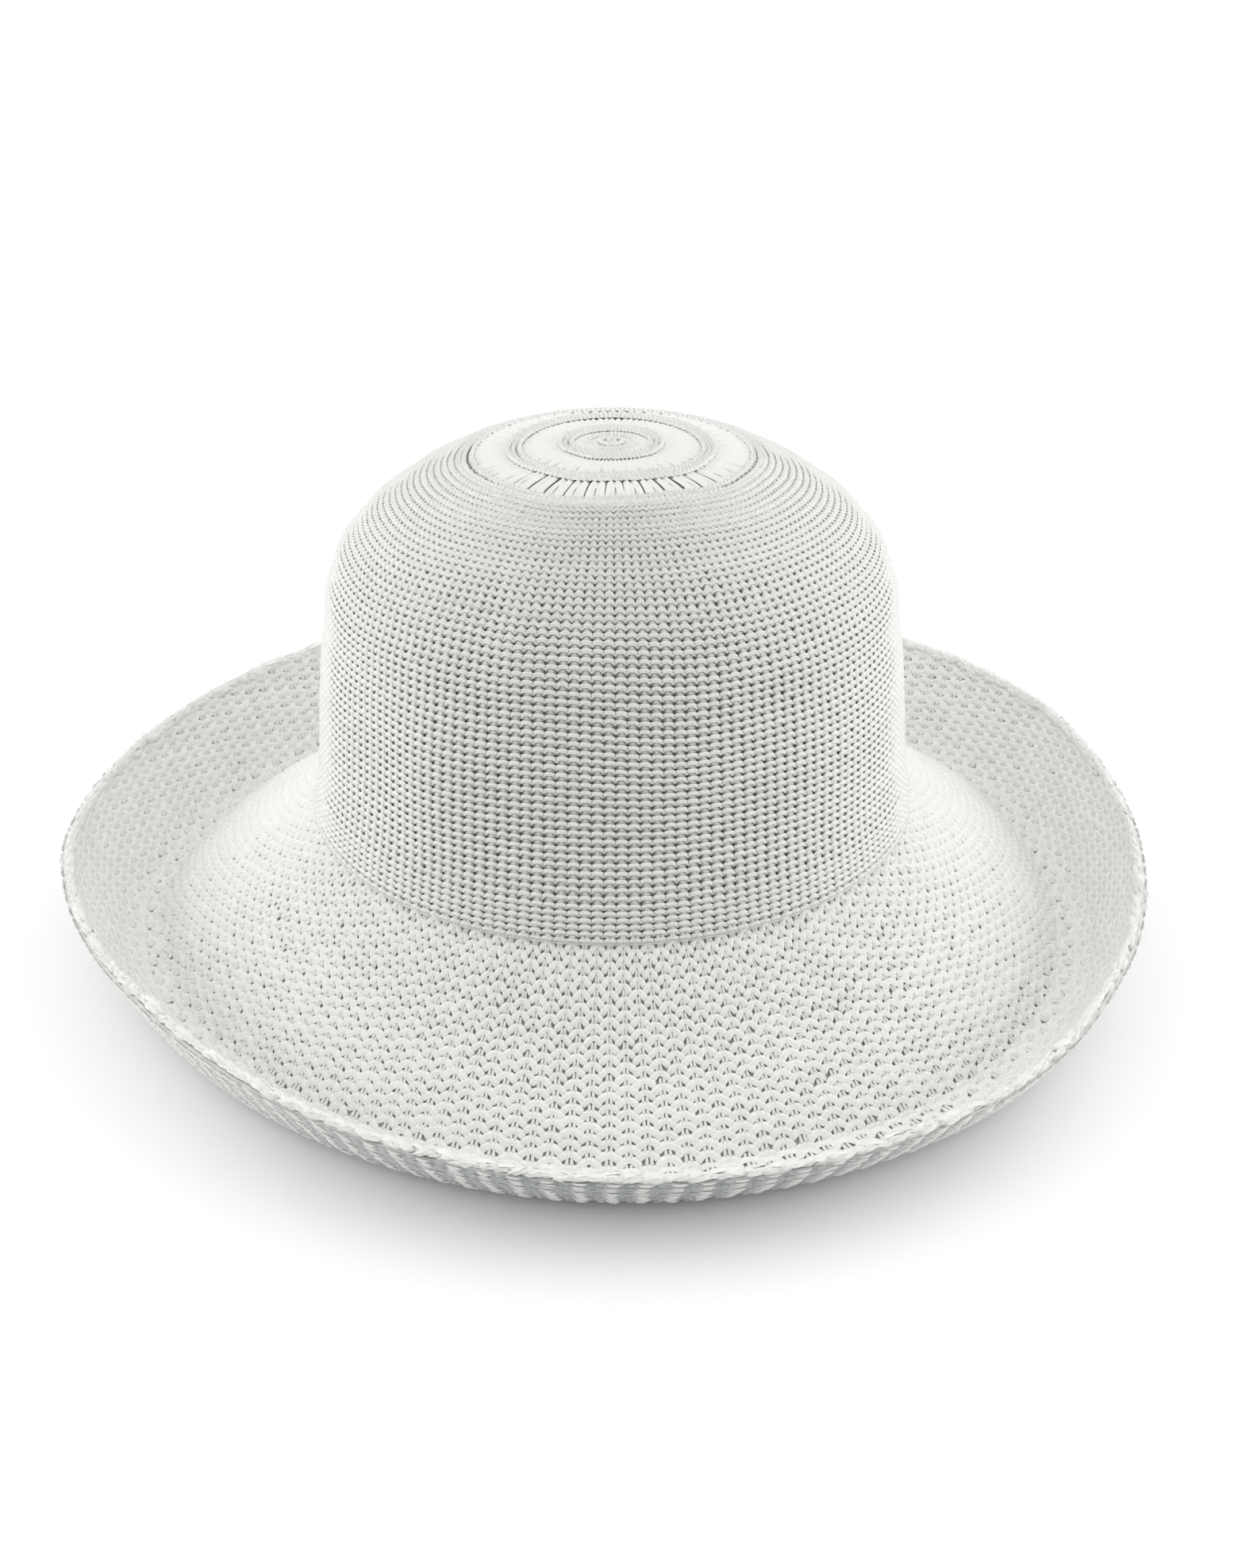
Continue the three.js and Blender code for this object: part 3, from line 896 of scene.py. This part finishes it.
def maths(tree, operation, first, second=None):
    """A maths node with its inputs linked or set, and its result."""
    node = tree.nodes.new("ShaderNodeMath")
    node.operation = operation
    for socket, value in zip(node.inputs, (first, second)):
        if isinstance(value, bpy.types.NodeSocket):
            tree.links.new(value, socket)
        elif value is not None:
            socket.default_value = value
    return node.outputs[0]


def noise(tree, place, scale, detail, distortion=0.0):
    """The strength of a noise in the hat's own space."""
    node = tree.nodes.new("ShaderNodeTexNoise")
    node.inputs["Scale"].default_value = scale
    node.inputs["Detail"].default_value = detail
    node.inputs["Distortion"].default_value = distortion
    tree.links.new(place.outputs["Object"], node.inputs["Vector"])
    return node.outputs["Fac"]


def yarn_colour_group():
    """Colour of yarn from its tone, painted shade for its depth in the knit, flecks and patches.
    """
    colour = "NodeSocketColor"
    number = "NodeSocketFloat"
    group, start, end = new_group(
        "yarn_colour",
        [("Light", colour, (0.8, 0.8, 0.78, 1)), ("Shade", colour, (0.5, 0.5, 0.48, 1)),
         ("Deepness", number, 1.0)],
        [("Colour", colour)])
    loop_change, fleck_change, patch_change = 0.012, 0.10, 0.05
    tone = group.nodes.new("ShaderNodeAttribute")
    tone.attribute_name = "tone"
    depth = group.nodes.new("ShaderNodeAttribute")
    depth.attribute_name = "depth"
    place = group.nodes.new("ShaderNodeTexCoord")
    speckle = noise(group, place, 900, 3)
    cloud = noise(group, place, 26, 2)
    # Painted shade: the deeper a point lies, the more of the shade colour is mixed in
    deep = maths(group, "MULTIPLY", depth.outputs["Fac"], start.outputs["Deepness"])
    mix = group.nodes.new("ShaderNodeMix")
    mix.data_type = "RGBA"
    group.links.new(deep, mix.inputs["Factor"])
    group.links.new(start.outputs["Light"], mix.inputs["A"])
    group.links.new(start.outputs["Shade"], mix.inputs["B"])
    vary = maths(group, "MULTIPLY", tone.outputs["Fac"], loop_change)
    fleck = maths(group, "SUBTRACT", speckle, 0.5)
    fleck = maths(group, "MULTIPLY", fleck, fleck_change)
    patch = maths(group, "SUBTRACT", cloud, 0.5)
    patch = maths(group, "MULTIPLY", patch, patch_change)
    total = maths(group, "ADD", maths(group, "ADD", vary, fleck), patch)
    value = group.nodes.new("ShaderNodeHueSaturation")
    group.links.new(maths(group, "ADD", total, 1.0), value.inputs["Value"])
    group.links.new(mix.outputs["Result"], value.inputs["Color"])
    group.links.new(value.outputs["Color"], end.inputs["Colour"])
    return group


yarn_colour = yarn_colour_group()
print("the colour group has", len(yarn_colour.nodes), "nodes")

# %% [markdown]
# ## The yarn's filaments and fibres
# A yarn is many fine filaments that wind slowly round it, with loose fibres over them. They are
# far too fine to model, so they are small bumps. The filaments follow the map along the yarn.

# %% Bump of the yarn
def yarn_bump_group():
    """Normal with filaments that wind slowly round the yarn and loose fibres over it."""
    winding, filaments = 1.1, 4.0
    number = "NodeSocketFloat"
    group, start, end = new_group(
        "yarn_bump",
        [("Twist", number, 1.0), ("Fuzz", number, 1.0)],
        [("Normal", "NodeSocketVector")])
    place = group.nodes.new("ShaderNodeUVMap")
    place.uv_map = "yarn"
    split = group.nodes.new("ShaderNodeSeparateXYZ")
    group.links.new(place.outputs["UV"], split.inputs["Vector"])
    turn = maths(group, "ADD", maths(group, "MULTIPLY", split.outputs["X"], winding),
                 maths(group, "MULTIPLY", split.outputs["Y"], filaments * math.pi))
    ply = maths(group, "ABSOLUTE", maths(group, "SINE", turn))
    twist = maths(group, "MULTIPLY", ply, start.outputs["Twist"])
    spot = group.nodes.new("ShaderNodeTexCoord")
    fibres = noise(group, spot, 2600, 4, 1.5)
    fuzz = maths(group, "MULTIPLY", fibres, start.outputs["Fuzz"])
    bump = group.nodes.new("ShaderNodeBump")
    bump.inputs["Strength"].default_value = 0.55
    bump.inputs["Distance"].default_value = 0.00016
    group.links.new(maths(group, "ADD", twist, fuzz), bump.inputs["Height"])
    group.links.new(bump.outputs["Normal"], end.inputs["Normal"])
    return group


yarn_bump = yarn_bump_group()
print("the bump group has", len(yarn_bump.nodes), "nodes")

# %% [markdown]
# ## Materials
# All pieces are of one yarn, soft and hardly shiny. The edge is a little smoother, because its
# loops are pulled tight. The ribbed back has a much darker painted shade, most in its grooves and
# in front, because the brim keeps the light from it.

# %% Yarn materials
# The yarn's own off-white, and the painted shades mixed into it: for yarn deep in the knit and for
# the ribbed back under the brim
off_white = (0.88, 0.89, 0.86, 1)
in_shade = (0.56, 0.57, 0.54, 1)
under_brim_shade = (0.33, 0.35, 0.34, 1)


def yarn_material(name, shade, deepness, roughness, sheen, twist=0.5, fuzz=0.8):
    """An off-white yarn's material with its own shade, built from the two shared groups."""
    material = bpy.data.materials.new(name)
    material.use_nodes = True
    tree = material.node_tree
    shader = tree.nodes["Principled BSDF"]
    shader.inputs["Roughness"].default_value = roughness
    shader.inputs["Sheen Weight"].default_value = sheen
    shader.inputs["Sheen Roughness"].default_value = 0.5
    shader.inputs["Specular IOR Level"].default_value = 0.35
    colour = tree.nodes.new("ShaderNodeGroup")
    colour.node_tree = yarn_colour
    colour.inputs["Light"].default_value = off_white
    colour.inputs["Shade"].default_value = shade
    colour.inputs["Deepness"].default_value = deepness
    bump = tree.nodes.new("ShaderNodeGroup")
    bump.node_tree = yarn_bump
    bump.inputs["Twist"].default_value = twist
    bump.inputs["Fuzz"].default_value = fuzz
    tree.links.new(colour.outputs["Colour"], shader.inputs["Base Color"])
    tree.links.new(bump.outputs["Normal"], shader.inputs["Normal"])
    return material


crown_knit = yarn_material("crown_knit", in_shade, deepness=0.40, roughness=0.8, sheen=0.15)
brim_knit = yarn_material("brim_knit", in_shade, deepness=0.30, roughness=0.75, sheen=0.15)
edge_knit = yarn_material(
    "edge_knit", in_shade, deepness=0.8, roughness=0.65, sheen=0.2, twist=0.9, fuzz=1.2)
back_knit = yarn_material("back_knit", under_brim_shade, deepness=1.0, roughness=0.6, sheen=0.2)
for piece in crown_parts + [rosette_piece, lining_piece]:
    piece.data.materials.append(crown_knit)
for piece in brim_parts + [joint_piece]:
    piece.data.materials.append(brim_knit)
for piece in (back_piece, bars_piece):
    piece.data.materials.append(back_knit)
edge_piece.data.materials.append(edge_knit)
print("yarn materials:", crown_knit.name, brim_knit.name, edge_knit.name, back_knit.name)

# %% [markdown]
# ## Floor
# The hat lies on a pale sheet without an edge in sight. It is a plain square, wide enough that
# its far side can't be told from the backdrop.

# %% Floor
floor_mesh = bpy.data.meshes.new("floor")
reach = 14.0
floor_mesh.from_pydata(
    [(-reach, -reach, 0), (reach, -reach, 0), (reach, reach, 0), (-reach, reach, 0)],
    [], [(0, 1, 2, 3)])
floor = bpy.data.objects.new("floor", floor_mesh)
bpy.context.scene.collection.objects.link(floor)
floor_material = bpy.data.materials.new("floor")
floor_material.use_nodes = True
floor_shader = floor_material.node_tree.nodes["Principled BSDF"]
floor_shader.inputs["Roughness"].default_value = 0.9
floor_shader.inputs["Specular IOR Level"].default_value = 0.1
floor_shader.inputs["Base Color"].default_value = (0.96, 0.96, 0.96, 1)
floor.data.materials.append(floor_material)
print("the floor reaches", reach, "m each way")

# %% [markdown]
# ## Light
# The studio light is soft and comes from all round. It is brightest from both sides and weakest
# from where the camera stands, which leaves the front of the brim in soft shadow. Lamps alone
# would draw hard shadows, so most of it is a sky whose strength depends on the direction. The
# camera sees that sky as plain white, like the backdrop.

# %% Light
def area_light(name, place, aim, size, power):
    """A large soft light at place, turned towards aim."""
    light = bpy.data.lights.new(name, "AREA")
    light.shape = "RECTANGLE"
    light.size = size[0]
    light.size_y = size[1]
    light.energy = power
    lamp = bpy.data.objects.new(name, light)
    bpy.context.scene.collection.objects.link(lamp)
    lamp.location = place
    way_to = np.array(aim, float) - np.array(place, float)
    lamp.rotation_mode = "QUATERNION"
    lamp.rotation_quaternion = Vector(way_to).to_track_quat("-Z", "Y")
    return lamp


area_light("front", (0.0, -1.1, 1.5), (0, 0, 0.05), (1.4, 1.0), 1.0)
area_light("left", (-1.5, -0.2, 0.5), (0, 0, 0.08), (1.0, 0.8), 4.5)
area_light("right", (1.5, -0.2, 0.5), (0, 0, 0.08), (1.0, 0.8), 4.5)

world = bpy.data.worlds.new("studio")
bpy.context.scene.world = world
world.use_nodes = True
sky = world.node_tree

# The sky's strength: all round, more from above, more from the sides, less from the front
all_round, from_above, from_sides, from_front = 0.86, 0.30, 0.60, 0.78
place = sky.nodes.new("ShaderNodeTexCoord")
split = sky.nodes.new("ShaderNodeSeparateXYZ")
sky.links.new(place.outputs["Generated"], split.inputs["Vector"])
above = maths(sky, "MULTIPLY", maths(sky, "MAXIMUM", split.outputs["Z"], 0.0), from_above)
sideways = maths(sky, "MULTIPLY", split.outputs["X"], split.outputs["X"])
beside = maths(sky, "MULTIPLY", sideways, from_sides)
ahead = maths(sky, "MULTIPLY", maths(sky, "MINIMUM", split.outputs["Y"], 0.0), from_front)
ahead = maths(sky, "ADD", ahead, all_round)
glow = maths(sky, "ADD", maths(sky, "ADD", above, beside), ahead)
seen = sky.nodes.new("ShaderNodeLightPath")
unseen = maths(sky, "SUBTRACT", 1.0, seen.outputs["Is Camera Ray"])
glow = maths(sky, "ADD", maths(sky, "MULTIPLY", glow, unseen), seen.outputs["Is Camera Ray"])
sky.nodes["Background"].inputs["Color"].default_value = (1, 1, 1, 1)
sky.links.new(glow, sky.nodes["Background"].inputs["Strength"])
print("the sky has", len(sky.nodes), "nodes")

# %% [markdown]
# ## Camera
# The camera stands in front and looks down at about 28 degrees. Its place and lens come from
# matching the crown's foot, the rosette's ring and the brim's edge to the photo.

# %% Camera
camera_data = bpy.data.cameras.new("camera")
camera_data.sensor_width = 36.0
camera_data.lens = 38.716
camera = bpy.data.objects.new("camera", camera_data)
bpy.context.scene.collection.objects.link(camera)
camera.location = (0.00807, -0.48021, 0.29365)
camera.rotation_euler = (math.radians(62.01), 0, 0)
bpy.context.scene.camera = camera
bpy.context.scene.view_settings.view_transform = "Standard"
print("camera at", [round(v, 3) for v in camera.location])
